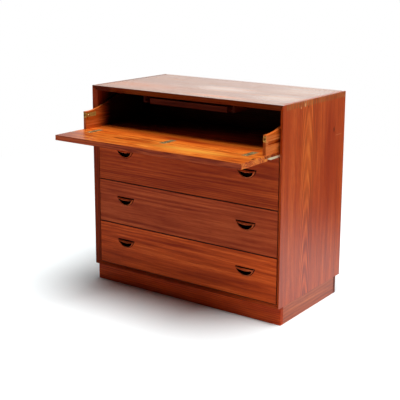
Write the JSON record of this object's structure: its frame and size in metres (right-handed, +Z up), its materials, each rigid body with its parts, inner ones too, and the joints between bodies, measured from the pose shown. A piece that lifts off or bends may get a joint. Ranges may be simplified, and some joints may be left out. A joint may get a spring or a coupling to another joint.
{
  "type": "writing dresser",
  "caption": "Teak chest of drawers with a slide-out writing drawer whose front folds down as a desk, inset half-moon wooden pulls and a recessed plinth.",
  "frame": {"origin": "centre of the whole part on the floor, with the writing drawer drawn out and its flap down", "axes": "+X to the right as seen from the front, +Y to the back, +Z up"},
  "size_m": [0.92, 0.7294, 0.845],
  "materials": {
    "teak": "satin oil over fine straight grain",
    "beech": "matt, bare",
    "plywood": "matt, bare",
    "brass": "dulled satin",
    "steel": "bright screw heads"
  },
  "bodies": {
    "case": {"top_panel": "teak", "side_panel_left": "teak", "side_panel_right": "teak", "bottom_panel": "teak", "back_panel": "plywood", "back_panel_screws": "steel", "plinth_front": "teak", "plinth_back": "teak", "plinth_left": "teak", "plinth_right": "teak", "plinth_corner_blocks": "beech", "plinth_screws": "steel", "desk_drawer_runners": "beech", "drawer_2_runners": "beech", "drawer_3_runners": "beech", "drawer_4_runners": "beech", "runner_screws": "steel", "tray_hanger_left": "teak", "tray_hanger_right": "teak"},
    "desk_drawer": {"writing_board": "teak", "desk_side_left": "teak", "desk_side_right": "teak", "desk_back": "teak", "desk_batten_left": "beech", "desk_batten_right": "beech", "catch_housing_left": "brass", "catch_housing_right": "brass", "hinge_board_leaves": "brass", "hinge_pins": "brass"},
    "flap": {"desk_flap": "teak", "desk_flap_pulls": "teak", "hinge_flap_leaves": "brass", "strike_plates": "brass"},
    "catch_bolt_left": {"catch_bolt_left": "brass"},
    "catch_bolt_right": {"catch_bolt_right": "brass"},
    "drawer_2": {"drawer_2_front": "teak", "drawer_2_pulls": "teak", "drawer_2_side_left": "beech", "drawer_2_side_right": "beech", "drawer_2_back": "beech", "drawer_2_bottom": "plywood"},
    "drawer_3": {"drawer_3_front": "teak", "drawer_3_pulls": "teak", "drawer_3_side_left": "beech", "drawer_3_side_right": "beech", "drawer_3_back": "beech", "drawer_3_bottom": "plywood"},
    "drawer_4": {"drawer_4_front": "teak", "drawer_4_pulls": "teak", "drawer_4_side_left": "beech", "drawer_4_side_right": "beech", "drawer_4_back": "beech", "drawer_4_bottom": "plywood"},
    "pencil_tray": {"tray_front": "teak", "tray_side_left": "teak", "tray_side_right": "teak", "tray_back": "teak", "tray_bottom": "plywood"}
  },
  "joints": [
    {"name": "desk_drawer_slide", "type": "slide", "parent": "case", "child": "desk_drawer", "axis": [0, -1, 0], "range_m": [-0.1135, 0.2]},
    {"name": "flap_hinge", "type": "hinge", "parent": "desk_drawer", "child": "flap", "pos_m": [0, -0.21025, 0.667], "axis": [-1, 0, 0], "range_deg": [0, 90]},
    {"name": "catch_bolt_left_travel", "type": "slide", "parent": "desk_drawer", "child": "catch_bolt_left", "axis": [0, -1, 0], "range_m": [0, 0.006]},
    {"name": "catch_bolt_right_travel", "type": "slide", "parent": "desk_drawer", "child": "catch_bolt_right", "axis": [0, -1, 0], "range_m": [0, 0.006]},
    {"name": "drawer_2_slide", "type": "slide", "parent": "case", "child": "drawer_2", "axis": [0, -1, 0], "range_m": [0, 0.35]},
    {"name": "drawer_3_slide", "type": "slide", "parent": "case", "child": "drawer_3", "axis": [0, -1, 0], "range_m": [0, 0.35]},
    {"name": "drawer_4_slide", "type": "slide", "parent": "case", "child": "drawer_4", "axis": [0, -1, 0], "range_m": [0, 0.35]},
    {"name": "pencil_tray_slide", "type": "slide", "parent": "case", "child": "pencil_tray", "axis": [0, -1, 0], "range_m": [0, 0.15]}
  ]
}
